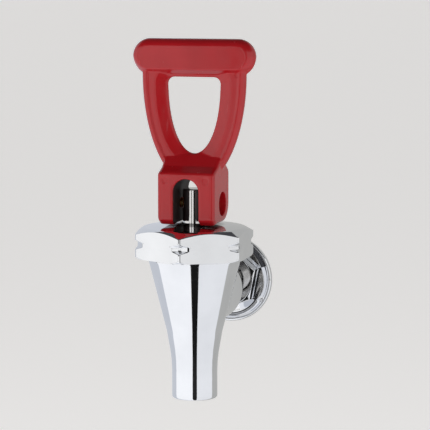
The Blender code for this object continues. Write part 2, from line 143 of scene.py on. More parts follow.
def finish_mesh(name, bm):
    bmesh.ops.remove_doubles(bm, verts=bm.verts, dist=MERGE_DISTANCE)
    bmesh.ops.recalc_face_normals(bm, faces=bm.faces)
    mesh = bpy.data.meshes.new(name)
    bm.to_mesh(mesh)
    bm.free()
    return mesh


def arc(centre, radius, start_deg, end_deg, steps):
    """Points on a circle, from one angle to the other, both ends included."""
    shares = [i / steps for i in range(steps + 1)]
    turns = [math.radians(start_deg + (end_deg - start_deg) * share) for share in shares]
    return [(centre[0] + radius * math.cos(t), centre[1] + radius * math.sin(t)) for t in turns]


def soften(outline, radius, steps=4):
    """Rounds the corners of a closed outline, apart from those on the axis."""
    points = [Vector(point) for point in outline]
    made = []
    for i, point in enumerate(points):
        before, after = points[i - 1], points[(i + 1) % len(points)]
        if point.x < 1e-6:
            made.append(tuple(point))
            continue
        start = point + (before - point).normalized() * min(radius, (before - point).length * 0.45)
        end = point + (after - point).normalized() * min(radius, (after - point).length * 0.45)
        for k in range(steps + 1):
            t = k / steps
            made.append(tuple(start * (1 - t) ** 2 + point * 2 * t * (1 - t) + end * t * t))
    return made


def dense(outline, longest):
    """Adds points so that no side of a closed outline is longer than the given length."""
    made = []
    for i, start in enumerate(outline):
        end = outline[(i + 1) % len(outline)]
        count = max(1, math.ceil(math.dist(start, end) / longest))
        for k in range(count):
            t = k / count
            made.append((start[0] + (end[0] - start[0]) * t, start[1] + (end[1] - start[1]) * t))
    return made


def join_in_loop(bm, rings):
    """Faces between each ring of vertices and the one before it, the first and last included."""
    for i, ring in enumerate(rings):
        before = rings[i - 1]
        for k, vert in enumerate(ring):
            bm.faces.new((before[k - 1], before[k], vert, ring[k - 1]))


def round_trip(name, outline, angles, radius_at):
    """A closed (radius, height) outline that misses the axis, swept round Z through the angles."""
    bm = bmesh.new()
    rings = []
    for r, h in outline:
        ring = []
        for angle in angles:
            reach = radius_at(r, h, angle) * MM
            ring.append(bm.verts.new((reach * math.cos(angle), reach * math.sin(angle), h * MM)))
        rings.append(ring)
    join_in_loop(bm, rings)
    return finish_mesh(name, bm)


def turned(name, profile, steps=FINE_STEPS):
    """A closed (radius, height) outline in mm, turned about Z."""
    bm = bmesh.new()
    verts = [bm.verts.new((r * MM, 0.0, h * MM)) for r, h in profile]
    edges = [bm.edges.new((verts[i - 1], verts[i])) for i in range(len(verts))]
    for edge in [e for e in edges if max(v.co.x for v in e.verts) < 1e-9]:
        bm.edges.remove(edge)
    ring = [e for e in edges if e.is_valid]
    bmesh.ops.spin(bm, geom=verts + ring, cent=(0, 0, 0), axis=(0, 0, 1), angle=math.tau, steps=steps)
    return finish_mesh(name, bm)


def smooth_min(a, b, blend):
    near = max(blend - abs(a - b), 0.0) / blend
    return min(a, b) - near * near * blend / 4


def hex_radius(flats, first_corner_deg, angle):
    """How far a rounded hexagon reaches at an angle: the nearer two of its six flats decide."""
    turn = (math.degrees(angle) - first_corner_deg) % 60 - 30
    near = flats / 2 / math.cos(math.radians(turn))
    other = flats / 2 / math.cos(math.radians(60 - abs(turn)))
    return smooth_min(near, other, EDGE_BLEND)


def hex_angles(first_corner_deg, steps_per_flat):
    """Angles round a hexagon, closer together towards its corners."""
    made = []
    for flat in range(6):
        for k in range(steps_per_flat):
            share = math.sin(math.pi * (k / steps_per_flat - 0.5))
            made.append(math.radians(first_corner_deg + 60 * flat + 30 * (share + 1)))
    return made


def hex_turned(name, profile, flats, first_corner_deg, steps_per_flat=40, longest=0.3):
    """A turned blank cut to a hexagon, with every edge slightly rounded as plating leaves it."""

    def radius_at(r, _, angle):
        return smooth_min(r, hex_radius(flats, first_corner_deg, angle), EDGE_BLEND)

    outline = dense(soften(profile, 0.25), longest)
    return round_trip(name, outline, hex_angles(first_corner_deg, steps_per_flat), radius_at)


def prism(name, outline, low, high):
    """A simple (x, y) outline in mm, extruded along Z from low to high."""
    bm = bmesh.new()
    base = bm.faces.new([bm.verts.new((x * MM, y * MM, low * MM)) for x, y in outline])
    top = bmesh.ops.extrude_face_region(bm, geom=[base])
    moved = [item for item in top["geom"] if isinstance(item, bmesh.types.BMVert)]
    bmesh.ops.translate(bm, verts=moved, vec=(0, 0, (high - low) * MM))
    return finish_mesh(name, bm)


def along_y(mesh):
    mesh.transform(Matrix.Rotation(math.radians(-90), 4, "X"))
    return mesh


def along_x(mesh):
    mesh.transform(Matrix.Rotation(math.radians(90), 4, "Y"))
    return mesh


def moved(mesh, x=0.0, y=0.0, z=0.0):
    mesh.transform(Matrix.Translation(Vector((x, y, z)) * MM))
    return mesh


def evaluated_mesh(obj, name):
    """The object's mesh with its modifiers applied; the object itself goes."""
    graph = bpy.context.evaluated_depsgraph_get()
    mesh = bpy.data.meshes.new_from_object(obj.evaluated_get(graph))
    mesh.name = name
    bpy.data.objects.remove(obj, do_unlink=True)
    return mesh


def combined(mesh, steps):
    """The mesh after a list of (tool mesh, operation) booleans."""
    obj = linked("scratch", mesh)
    tools = []
    for tool_mesh, operation in steps:
        tools.append(linked("scratch", tool_mesh))
        modifier = obj.modifiers.new("boolean", "BOOLEAN")
        modifier.object = tools[-1]
        modifier.operation = operation
        modifier.solver = "EXACT"
    result = evaluated_mesh(obj, mesh.name)
    for tool in tools:
        bpy.data.objects.remove(tool, do_unlink=True)
    return result


def moulded(mesh, voxel, rounds):
    """Remeshes evenly and relaxes the surface, which leaves a moulding's small fillets."""
    obj = linked("scratch", mesh)
    remesh = obj.modifiers.new("remesh", "REMESH")
    remesh.mode = "VOXEL"
    remesh.voxel_size = voxel * MM
    relax = obj.modifiers.new("relax", "SMOOTH")
    relax.factor = 0.5
    relax.iterations = rounds
    return evaluated_mesh(obj, mesh.name)


# Materials ----------------------------------------------------------------------------------


class Surface:
    """A Principled material whose detail comes from noise in the object's own coordinates."""

    def __init__(self, name, colour, roughness, metallic=0.0):
        self.made = bpy.data.materials.new(name)
        self.made.use_nodes = True
        self.nodes = self.made.node_tree.nodes
        self.links = self.made.node_tree.links
        self.shader = self.nodes["Principled BSDF"]
        self.shader.inputs["Base Color"].default_value = (*colour, 1.0)
        self.shader.inputs["Roughness"].default_value = roughness
        self.shader.inputs["Metallic"].default_value = metallic
        self.place = self.nodes.new("ShaderNodeTexCoord").outputs["Object"]

    def set(self, **values):
        for key, value in values.items():
            self.shader.inputs[key.replace("_", " ")].default_value = value
        return self

    def noise(self, scale, detail=4.0, stretch=(1, 1, 1), distortion=0.0):
        mapping = self.nodes.new("ShaderNodeMapping")
        mapping.inputs["Scale"].default_value = stretch
        self.links.new(self.place, mapping.inputs["Vector"])
        texture = self.nodes.new("ShaderNodeTexNoise")
        texture.inputs["Scale"].default_value = scale
        texture.inputs["Detail"].default_value = detail
        texture.inputs["Distortion"].default_value = distortion
        self.links.new(mapping.outputs["Vector"], texture.inputs["Vector"])
        return texture.outputs["Fac"]

    def spread(self, source, low, high, start=0.35, end=0.65):
        """Maps a noise's middle range onto low to high."""
        node = self.nodes.new("ShaderNodeMapRange")
        node.inputs["From Min"].default_value = start
        node.inputs["From Max"].default_value = end
        node.inputs["To Min"].default_value = low
        node.inputs["To Max"].default_value = high
        self.links.new(source, node.inputs["Value"])
        return node.outputs["Result"]

    def together(self, first, second, operation="ADD"):
        node = self.nodes.new("ShaderNodeMath")
        node.operation = operation
        self.links.new(first, node.inputs[0])
        self.links.new(second, node.inputs[1])
        return node.outputs["Value"]

    def colours(self, source, stops):
        """Colours the shader's base along a ramp of (position, colour) stops."""
        ramp = self.nodes.new("ShaderNodeValToRGB")
        while len(ramp.color_ramp.elements) < len(stops):
            ramp.color_ramp.elements.new(0.5)
        for element, (position, colour) in zip(ramp.color_ramp.elements, stops):
            element.position = position
            element.color = (*colour, 1.0)
        self.links.new(source, ramp.inputs["Fac"])
        self.links.new(ramp.outputs["Color"], self.shader.inputs["Base Color"])
        return self

    def between(self, axis, low, high, edge=0.4 * MM):
        """1 where the object's own coordinate on an axis is from low to high, fading over the edge."""
        split = self.nodes.new("ShaderNodeSeparateXYZ")
        self.links.new(self.place, split.inputs["Vector"])
        above = self.spread(split.outputs[axis], 0.0, 1.0, low - edge, low)
        below = self.spread(split.outputs[axis], 1.0, 0.0, high, high + edge)
        return self.together(above, below, "MULTIPLY")

    def near_axis(self, full, none):
        """1 within a radius of the faucet's axis, down to 0 at a wider one."""
        flat = self.nodes.new("ShaderNodeVectorMath")
        flat.operation = "MULTIPLY"
        flat.inputs[1].default_value = (1.0, 1.0, 0.0)
        self.links.new(self.place, flat.inputs[0])
        reach = self.nodes.new("ShaderNodeVectorMath")
        reach.operation = "DISTANCE"
        reach.inputs[1].default_value = (0.0, BONNET_TOP.y, 0.0)
        self.links.new(flat.outputs["Vector"], reach.inputs[0])
        return self.spread(reach.outputs["Value"], 1.0, 0.0, full, none)

    def paint_shade(self, where, colour):
        """Takes the base colour to another one where the mask is 1; both uses paint shade."""
        base = self.shader.inputs["Base Color"]
        mix = self.nodes.new("ShaderNodeMix")
        mix.data_type = "RGBA"
        mix.inputs["B"].default_value = (*colour, 1.0)
        self.links.new(base.links[0].from_socket, mix.inputs["A"])
        self.links.new(where, mix.inputs["Factor"])
        self.links.new(mix.outputs["Result"], base)
        return self

    def rough(self, source):
        self.links.new(source, self.shader.inputs["Roughness"])
        return self

    def bump(self, source, strength, distance_mm):
        node = self.nodes.new("ShaderNodeBump")
        node.inputs["Strength"].default_value = strength
        node.inputs["Distance"].default_value = distance_mm * MM
        self.links.new(source, node.inputs["Height"])
        self.links.new(node.outputs["Normal"], self.shader.inputs["Normal"])
        return self


def red_plastic():
    """Glossy moulded nylon: flow marks, a very fine texture, scuffs, and painted shade darkening the
    slot.
    """
    made = Surface("red_plastic", (0.40, 0.007, 0.012), 0.2)
    flow = made.noise(90, 5, (1, 1, 0.35), 1.2)
    made.colours(flow, [(0.30, (0.37, 0.006, 0.010)), (0.72, (0.42, 0.008, 0.013))])
    # Painted shade: the slot's walls, from just behind the foot's front, are darkened to near black red
    # and made rougher.
    across = made.between("X", -SLOT_HALF_WIDTH * MM, SLOT_HALF_WIDTH * MM)
    below = made.between("Z", 0.0, BONNET_TOP.z + SLOT_TOP * MM)
    behind = made.between("Y", BONNET_TOP.y + (FOOT_FRONT + SLOT_SHADE_START) * MM, 0.0)
    slot = made.together(made.together(across, below, "MULTIPLY"), behind, "MULTIPLY")
    made.paint_shade(slot, (0.020, 0.002, 0.002))
    scuffs = made.spread(made.noise(700, 6, (1, 1, 0.12)), 0.0, 0.16, 0.60, 0.78)
    gloss = made.together(made.spread(made.noise(160, 4), 0.13, 0.23), scuffs)
    made.rough(made.together(gloss, made.spread(slot, 0.0, 0.40, 0.0, 1.0)))
    made.bump(made.noise(1500, 3), 0.10, 0.03)
    return made.set(IOR=1.52, Coat_Weight=0.0).made


def plated(name):
    """Polished chrome: a slow ripple under the plating, and smudges that only dull it a little."""
    made = Surface(name, (0.83, 0.84, 0.86), 0.04, 1.0)
    made.colours(made.noise(70, 3), [(0.35, (0.80, 0.81, 0.83)), (0.65, (0.86, 0.87, 0.89))])
    smudges = made.spread(made.noise(110, 6, (1, 1, 1), 0.8), 0.018, 0.060)
    wipes = made.spread(made.noise(900, 5, (1, 1, 0.10)), 0.0, 0.05, 0.62, 0.80)
    made.rough(made.together(smudges, wipes))
    return made.bump(made.noise(120, 2), 0.05, 0.06)


def chrome_plate():
    return plated("chrome_plate").made


def bonnet_plate():
    """The bonnet's chrome, with painted shade round the stem's hole."""
    made = plated("bonnet_plate")
    # Painted shade: the chrome round the stem's hole goes to near black, fading out between the two
    # radii.
    return made.paint_shade(made.near_axis(STEM_SHADE_R * MM, STEM_SHADE_END_R * MM), (0.02, 0.018, 0.018)).made


def stainless_steel():
    """Machined stainless: fine turning lines, slightly uneven in tone."""
    made = Surface("stainless_steel", (0.60, 0.59, 0.57), 0.25, 1.0)
    made.colours(made.noise(260, 6), [(0.30, (0.50, 0.49, 0.48)), (0.70, (0.68, 0.67, 0.65))])
    lines = made.noise(300, 4, (1, 22, 1))
    made.rough(made.together(made.spread(lines, 0.16, 0.30), made.spread(made.noise(80, 3), 0.0, 0.08)))
    return made.bump(lines, 0.12, 0.03).made


def polished_steel():
    """The stem: ground and polished, with faint rings from the stroke of the seal."""
    made = Surface("polished_steel", (0.72, 0.71, 0.70), 0.08, 1.0)
    made.colours(made.noise(200, 4), [(0.30, (0.66, 0.65, 0.64)), (0.70, (0.76, 0.75, 0.74))])
    rings = made.noise(240, 3, (1, 1, 16))
    made.rough(made.spread(rings, 0.05, 0.13))
    return made.bump(rings, 0.06, 0.02).made


def brass():
    made = Surface("brass", (0.80, 0.54, 0.20), 0.2, 1.0)
    made.colours(made.noise(420, 6), [(0.30, (0.62, 0.38, 0.12)), (0.65, (0.86, 0.60, 0.24))])
    lines = made.noise(350, 4, (20, 1, 1))
    made.rough(made.spread(lines, 0.14, 0.28))
    return made.bump(lines, 0.10, 0.02).made


def black_rubber():
    """Moulded rubber with a dusty bloom."""
    made = Surface("black_rubber", (0.02, 0.02, 0.022), 0.6)
    made.colours(made.noise(500, 8), [(0.30, (0.012, 0.012, 0.013)), (0.75, (0.045, 0.044, 0.043))])
    made.rough(made.spread(made.noise(240, 4), 0.48, 0.72))
    return made.bump(made.noise(2200, 5), 0.35, 0.05).made


def clear_silicone():
    """Milky silicone, a little cloudier in places."""
    made = Surface("clear_silicone", (0.80, 0.80, 0.76), 0.4)
    made.colours(made.noise(180, 4), [(0.30, (0.72, 0.72, 0.68)), (0.70, (0.86, 0.86, 0.82))])
    made.rough(made.spread(made.noise(400, 4), 0.30, 0.50))
    made.bump(made.noise(900, 3), 0.15, 0.04)
    return made.set(IOR=1.41, Transmission_Weight=0.25).made


def white_acetal():
    made = Surface("white_acetal", (0.84, 0.84, 0.80), 0.4)
    made.colours(made.noise(300, 5), [(0.30, (0.78, 0.78, 0.74)), (0.70, (0.88, 0.88, 0.85))])
    made.rough(made.spread(made.noise(500, 4), 0.32, 0.48))
    return made.bump(made.noise(1300, 3), 0.12, 0.03).made


MATERIALS = {
    "red_plastic": red_plastic(),
    "chrome_plate": chrome_plate(),
    "bonnet_plate": bonnet_plate(),
    "stainless_steel": stainless_steel(),
    "polished_steel": polished_steel(),
    "brass": brass(),
    "black_rubber": black_rubber(),
    "clear_silicone": clear_silicone(),
    "white_acetal": white_acetal(),
}


def piece(node, mesh, place, body, slot, finish=None, sharp_deg=32):
    """Puts a fine mesh in place of a CAD node, on the node's own body."""
    mesh.transform(Matrix.Translation(place))
    obj = linked(node + "_fine", mesh)
    mesh.materials.clear()
    mesh.materials.append(MATERIALS[finish or slot])
    mesh.shade_smooth()
    mesh.set_sharp_from_angle(angle=math.radians(sharp_deg))
    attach(obj, body)
    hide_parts(node)


# Handle -------------------------------------------------------------------------------------


def top_pairs(corner_steps, end_steps, top_steps):
    """Half of the ring's top, from the arm to the middle: matching window and outside points."""
    end_centre = (RING_END_X, RING_TOP - RING_END_R)
    flare_turn = math.radians(FLARE_DEG)
    reach = RING_END_R * math.cos(flare_turn) + RING_END_X - ARM_HALF_WIDTH
    flare_r = reach / (1 - math.cos(flare_turn))
    flare_h = end_centre[1] - (RING_END_R + flare_r) * math.sin(flare_turn)
    flare = arc((ARM_HALF_WIDTH + flare_r, flare_h), flare_r, 180, 180 - FLARE_DEG, corner_steps)
    low_end = arc(end_centre, RING_END_R, -FLARE_DEG, 45, corner_steps)[1:]
    high_end = arc(end_centre, RING_END_R, 45, 90, end_steps)[1:]
    top = [(RING_END_X * (1 - k / top_steps), RING_TOP) for k in range(1, top_steps + 1)]
    corner_x = WINDOW_HALF_WIDTH - WINDOW_CORNER_R
    corner = arc((corner_x, WINDOW_TOP - WINDOW_CORNER_R), WINDOW_CORNER_R, 0, 90, 2 * corner_steps)
    across = end_steps + top_steps
    inner_top = [(corner_x * (1 - k / across), WINDOW_TOP) for k in range(1, across + 1)]
    return list(zip(corner + inner_top, flare + low_end + high_end + top)), flare_h


def arm_pairs(arm_steps, outer_top):
    """One arm, from the middle of its bottom up: matching points on the window and on the outside."""
    pairs = []
    rise_end = (WINDOW_TOP - WINDOW_CORNER_R - WINDOW_BOTTOM) / (WINDOW_TOP - WINDOW_BOTTOM)
    for i in range(arm_steps):
        rise = (i / arm_steps) ** 1.6 * rise_end
        inner_x = WINDOW_HALF_WIDTH * math.sqrt(1 - (1 - rise) ** WINDOW_POWER)
        inner_h = WINDOW_BOTTOM + rise * (WINDOW_TOP - WINDOW_BOTTOM)
        turn = math.radians(90) * (i / arm_steps)
        outer_h = outer_top - (outer_top - ARM_BOTTOM) * math.cos(turn)
        pairs.append(((inner_x, inner_h), (ARM_HALF_WIDTH * math.sin(turn), outer_h)))
    return pairs


def normals(loop):
    """The unit normals of a closed counter-clockwise (x, height) loop, pointing outwards."""
    found = []
    for i, _ in enumerate(loop):
        before, after = Vector(loop[i - 1]), Vector(loop[(i + 1) % len(loop)])
        along = (after - before).normalized()
        found.append(Vector((along.y, -along.x)))
    return found


def ring_section(bead_steps):
    """Half of the ring's section: the edge measured from, the distance in from it, and the depth."""
    turns = [math.pi / 2 * k / bead_steps for k in range(bead_steps + 1)]
    outer = [("outer", ARM_BEAD * (1 - math.cos(t)), ARM_DEPTH * math.sin(t)) for t in turns]
    flat = ARM_DEPTH - CREASE
    crease = [("outer", ARM_BEAD + CREASE, flat)]
    slope = [("inner", RIM_WIDTH + SLOPE_WIDTH, flat), ("inner", RIM_WIDTH, RIM_DEPTH)]
    return outer + crease + slope + [("inner", 0.0, RIM_DEPTH * 0.6)]


def ring_loop(inner, outer, inner_normal, outer_normal, bead_steps):
    """One section's points round the ring's material, front half first, relative to the pin."""
    half = []
    for edge, distance, depth in ring_section(bead_steps):
        place = Vector(outer) - outer_normal * distance
        if edge == "inner":
            place = Vector(inner) + inner_normal * distance
        half.append(Vector((place.x, -depth, place.y - PIN_H)) * MM)
    back = [Vector((p.x, -p.y, p.z)) for p in half[:0:-1]]
    return half + back


def handle_ring(arm_steps, corner_steps, end_steps, top_steps, bead_steps):
    """The two arms and what joins them round the window, as one closed loop of sections."""
    top, outer_top = top_pairs(corner_steps, end_steps, top_steps)
    right = arm_pairs(arm_steps, outer_top) + top
    left = [((-i[0], i[1]), (-o[0], o[1])) for i, o in right[-2:0:-1]]
    inner = [pair[0] for pair in right + left]
    outer = [pair[1] for pair in right + left]
    bm = bmesh.new()
    rings = []
    for i, o, inner_n, outer_n in zip(inner, outer, normals(inner), normals(outer)):
        rings.append([bm.verts.new(point) for point in ring_loop(i, o, inner_n, outer_n, bead_steps)])
    join_in_loop(bm, rings)
    return finish_mesh("handle", bm)


def stacked(name, rings):
    """Closed loops of points in mm, joined in order and capped at both ends."""
    bm = bmesh.new()
    made = [[bm.verts.new(Vector(point) * MM) for point in ring] for ring in rings]
    for ring, following in zip(made, made[1:]):
        for k, vert in enumerate(ring):
            bm.faces.new((ring[k - 1], vert, following[k], following[k - 1]))
    bm.faces.new(made[0])
    bm.faces.new(made[-1])
    return finish_mesh(name, bm)


def bar_outline(inset, rise, steps):
    """The grip bar from the front, drawn in from its edges, and up from its lower one."""
    half, top, low = BAR_HALF_WIDTH - inset, HANDLE_TOP - inset, BAR_BOTTOM + rise
    top_r, low_r = BAR_TOP_R - inset, BAR_LOW_R - inset
    outline = arc((half - top_r, top - top_r), top_r, 0, 90, steps)
    outline += arc((top_r - half, top - top_r), top_r, 90, 180, steps)
    outline += arc((low_r - half, low + low_r), low_r, 180, 270, steps)
    return outline + arc((half - low_r, low + low_r), low_r, 270, 360, steps)


def bar_mesh(bead_steps=12, corner_steps=14):
    """The grip bar: rounded over its top and ends, with flat faces and a slope under them."""
    turns = [math.pi / 2 * k / bead_steps for k in range(-bead_steps, bead_steps + 1)]
    rings = []
    for turn in turns:
        depth = BAR_DEPTH * math.sin(turn)
        rise = BAR_SLOPE * abs(depth) / BAR_DEPTH
        outline = bar_outline(BAR_BEAD * (1 - math.cos(turn)), rise, corner_steps)
        rings.append([(x, depth, h - PIN_H) for x, h in outline])
    return stacked("handle_bar", rings)


def foot_outline():
    """The foot from the side, as (depth, height above the pin), with ramped shoulders."""
    bottom = GAP - PIN_H
    arch_h = WINDOW_BOTTOM - 0.2 - PIN_H
    front = [(-4.5, bottom), (-8.1, bottom - 0.32), (FOOT_FRONT + 0.3, 1.3 - PIN_H)]
    front += [(FOOT_FRONT, 2.1 - PIN_H)]
    front += [(FOOT_FRONT, 16.9 - PIN_H), (FOOT_FRONT + 0.5, 17.5 - PIN_H), (-5.6, 19.3 - PIN_H)]
    front += [(-1.2, arch_h)]
    back = [(1.2, arch_h), (4.6, 19.6 - PIN_H), (FOOT_BACK - 0.5, 17.8 - PIN_H)]
    rolling = arc((FOOT_BACK - ROLLING_R, ROLLING_R + bottom), ROLLING_R, 0, -90, 12)
    return front + back + [(FOOT_BACK, 17.0 - PIN_H)] + rolling


def foot_mesh(edge_steps=5):
    """The foot's outline, swept across the handle, with its edges rounded at both sides."""
    outline = [Vector(point) for point in foot_outline()]
    low = Vector((min(p.x for p in outline), min(p.y for p in outline)))
    high = Vector((max(p.x for p in outline), max(p.y for p in outline)))
    middle, half = (low + high) / 2, (high - low) / 2
    turns = [math.pi / 2 * k / edge_steps for k in range(edge_steps + 1)]
    edge = [(FOOT_EDGE_R * (1 - math.sin(t)), FOOT_EDGE_R * (1 - math.cos(t))) for t in turns]
    slices = [(FOOT_HALF_WIDTH - across, inset) for across, inset in edge]
    slices = [(-x, inset) for x, inset in slices[::-1]] + slices
    rings = []
    for x, inset in slices:
        scale = Vector((1 - inset / half.x, 1 - inset / half.y))
        places = [middle + (p - middle) * scale for p in outline]
        rings.append([(x, p.x, p.y) for p in places])
    return stacked("handle_foot", rings)


def slot_mesh():
    """The arched slot that takes the stem, open at the bottom and from front to back."""
    arch = arc((0, SLOT_TOP - SLOT_HALF_WIDTH - PIN_H), SLOT_HALF_WIDTH, 0, 180, 32)
    outline = [(-SLOT_HALF_WIDTH, -PIN_H - 2), (SLOT_HALF_WIDTH, -PIN_H - 2)] + arch
    mesh = prism("handle_slot", outline, -14, 14)
    mesh.transform(Matrix.Rotation(math.radians(90), 4, "X"))
    return mesh


def pin_hole_mesh():
    """The pin's hole right across the foot, with a wider counterbore at each side."""
    step = FOOT_HALF_WIDTH - COUNTERBORE_DEPTH
    hole_r = PIN_R + GAP
    bore = [(0, -12), (COUNTERBORE_R, -12), (COUNTERBORE_R, -step), (hole_r, -step)]
    bore += [(hole_r, step), (COUNTERBORE_R, step), (COUNTERBORE_R, 12), (0, 12)]
    return along_x(turned("handle_pin_hole", bore, 64))


def press_marks(mesh):
    """Sinks the ejector-pin marks into the front face."""
    for vert in mesh.vertices:
        x, height = vert.co.x / MM, vert.co.z / MM + PIN_H
        if vert.normal.y > -0.8:
            continue
        for (mark_x, mark_h), radius, depth in PIN_MARKS:
            away = math.dist((x, height), (mark_x, mark_h)) - radius
            share = min(max(0.5 - away / HANDLE_VOXEL, 0.0), 1.0)
            vert.co.y += share * depth * MM


def build_handle():
    ring = handle_ring(arm_steps=40, corner_steps=10, end_steps=8, top_steps=24, bead_steps=6)
    steps = [(bar_mesh(), "UNION"), (foot_mesh(), "UNION")]
    steps += [(slot_mesh(), "DIFFERENCE"), (pin_hole_mesh(), "DIFFERENCE")]
    handle = moulded(combined(ring, steps), HANDLE_VOXEL, HANDLE_SMOOTHING)
    press_marks(handle)
    piece("handle", handle, PIN, "handle_set", "red_plastic", sharp_deg=180)
    end = PIN_HALF_LENGTH
    pin = [(0, -end), (PIN_R, -end), (PIN_R, end), (0, end)]
    mesh = along_x(turned("handle_pin", dense(soften(pin, 0.25), 0.8), 48))
    piece("handle_pin", mesh, PIN, "handle_set", "brass")


# Faucet -------------------------------------------------------------------------------------


def build_bonnet():
    top = [(STEM_HOLE_R, -0.1), (8.0, -0.45), (12.5, -0.9), (16.9, -1.4), (17.5, -1.65)]
    top += [(BONNET_CORNER_R, -3.4)]
    groove = [(BONNET_CORNER_R, -5.3), (BONNET_GROOVE_R, -6.1)]
    groove += [(BONNET_GROOVE_R, -7.6), (BONNET_CORNER_R, -8.4)]
    bottom = [(BONNET_CORNER_R, -11.1), (BONNET_CORNER_R - 1.0, -BONNET_HEIGHT)]
    bottom += [(15.2, -BONNET_HEIGHT), (15.2, -3.6), (STEM_HOLE_R, -3.6)]
    profile = top + groove + bottom
    mesh = hex_turned("bonnet", profile, BONNET_FLATS, BONNET_FIRST_CORNER_DEG, 48, 0.28)
    piece("bonnet", mesh, BONNET_TOP, "fixed_set", "chrome_plate", "bonnet_plate", sharp_deg=60)


def body_outside():
    cone_end_r = BODY_R - (CONE_TOP - CONE_END) * CONE_TAN
    thread = [(0, -6.0), (14.9, -6.0), (14.9, CONE_TOP)]
    cone = [(BODY_R, CONE_TOP), (cone_end_r, CONE_END)]
    neck = [(8.75, -40.4), (8.2, -43.5), (7.8, -46.8), (SPOUT_R, -50.0)]
    profile = thread + cone + neck + [(SPOUT_R, SPOUT_END), (0, SPOUT_END)]
    return dense(soften(profile, 0.8), 1.0)


def build_body():
    boss_end = BOSS_END_Y - FAUCET_Y
    boss = [(0, 4.0), (BOSS_R, 4.0), (BOSS_R, boss_end), (0, boss_end)]
    boss_mesh = moved(along_y(turned("boss", dense(soften(boss, 0.7), 1.0))), z=-BONNET_TOP.z / MM)
    hollow = [(0, -5.0), (11.8, -5.0), (11.8, -14.0), (9.4, -31.0), (8.6, -33.8)]
    hollow += [(OUTLET_R, -33.8), (OUTLET_R, SPOUT_END + 0.6), (OUTLET_R + 0.7, SPOUT_END - 0.1)]
    hollow += [(OUTLET_R + 0.7, SPOUT_END - 1), (0, SPOUT_END - 1)]
    thread_bottom = SHANK_FRONT_Y - FAUCET_Y - 0.5
    port = [(0, 5.0), (4.2, 5.0), (4.2, thread_bottom), (SHANK_R + GAP, thread_bottom)]
    port += [(SHANK_R + GAP, boss_end + 1), (0, boss_end + 1)]
    port_mesh = moved(along_y(turned("port", port, 64)), z=-BONNET_TOP.z / MM)
    hollow_mesh = turned("hollow", hollow, 96)
    steps = [(boss_mesh, "UNION"), (hollow_mesh, "DIFFERENCE"), (port_mesh, "DIFFERENCE")]
    mesh = combined(turned("faucet_body", body_outside()), steps)
    piece("faucet_body", mesh, BONNET_TOP, "fixed_set", "chrome_plate")


def build_stem():
    outside = [(0, STEM_TOP), (STEM_R, STEM_TOP), (STEM_R, -27.7), (5.6, -27.7)]
    outside += [(5.6, -28.9), (STEM_R, -28.9), (STEM_R, -30.6), (5.0, -30.6), (5.0, -31.6), (0, -31.6)]
    hole_r = PIN_R + GAP
    hole = [(0, -6), (hole_r, -6), (hole_r, 6), (0, 6)]
    cut = moved(along_x(turned("pin_hole", hole, 48)), z=PIN_H)
    stem = combined(turned("stem", dense(soften(outside, 0.5), 1.0), 96), [(cut, "DIFFERENCE")])
    piece("stem", stem, BONNET_TOP, "stem_set", "stainless_steel", "polished_steel")


# Shank and what clamps the tank wall --------------------------------------------------------


def thread_cut(r, h, angle):
    """How far a point of the shank is cut in by its thread; the bore is left plain."""
    if r < SHANK_BORE_R + 0.6:
        return r
    phase = (h / THREAD_PITCH - angle / math.tau) % 1.0
    valley = 1 - abs(2 * phase - 1)
    crest = min(max((valley - 0.12) / 0.76, 0.0), 1.0)
    return min(r, SHANK_R - THREAD_DEPTH * (1 - crest))


def build_shank():
    front, back, chamfer = SHANK_FRONT_Y, SHANK_BACK_Y, SHANK_CHAMFER
    profile = [(SHANK_BORE_R, front), (SHANK_R - chamfer, front), (SHANK_R, front + chamfer)]
    profile += [(SHANK_R, back - chamfer), (SHANK_R - chamfer, back), (SHANK_BORE_R, back)]
    outline = dense(soften(profile, 0.2, 2), THREAD_PITCH / 8)
    angles = [math.tau * k / 72 for k in range(72)]
    mesh = along_y(round_trip("shank", outline, angles, thread_cut))
    piece("shank", mesh, SHANK_AXIS, "fixed_set", "stainless_steel", sharp_deg=50)


def nut(node, flats, corner_deg, low, high, chamfer, slot):
    corner, face = flats / math.sqrt(3) + 0.1, flats / 2 - 0.2
    bore = SHANK_R + GAP
    blank = [(bore, low + 0.5), (bore + 0.5, low), (face, low), (corner, low + chamfer)]
    blank += [(corner, high - chamfer), (face, high), (bore + 0.5, high), (bore, high - 0.5)]
    mesh = along_y(hex_turned(node, blank, flats, corner_deg, 28, 0.25))
    piece(node, mesh, SHANK_AXIS, "fixed_set", slot, sharp_deg=60)


def washer(node, outer, low, high, edge, slot):
    bore = SHANK_R + GAP
    outline = [(bore, low), (outer, low), (outer, high), (bore, high)]
    mesh = along_y(turned(node, dense(soften(outline, edge), 1.0)))
    piece(node, mesh, SHANK_AXIS, "fixed_set", slot)


def build_escutcheon():
    bore = SHANK_R + GAP
    outline = [(bore, -3.1), (12.2, -3.1), (13.4, -3.4), (14.1, -4.0), (14.6, -4.2), (15.05, -4.05)]
    outline += [(15.3, -3.5), (15.3, -2.3), (15.0, -1.8), (bore, -1.8)]
    mesh = along_y(turned("escutcheon", dense(soften(outline[::-1], 0.5), 0.6)))
    piece("escutcheon", mesh, SHANK_AXIS, "fixed_set", "chrome_plate", sharp_deg=60)


def build_clamp():
    seal = BOSS_END_Y + GAP
    washer("shank_seal_washer", 10.9, seal, seal + 2.0, 0.35, "black_rubber")
    nut("shank_jam_nut", 16.0, 0.0, seal + 2.3, seal + 6.8, 1.0, "stainless_steel")
    nut("outer_nut", 18.7, 40.9, -7.4, -3.4, 0.7, "chrome_plate")
    build_escutcheon()
    washer("flange_gasket", 13.0, -1.5, 0.0, 0.3, "black_rubber")
    washer("inner_gasket", 13.0, 3.0, 4.6, 0.3, "black_rubber")
    washer("backing_washer", 12.0, 4.9, 6.3, 0.2, "stainless_steel")
    nut("lock_nut", 19.0, 0.0, 6.6, 12.1, 1.0, "stainless_steel")


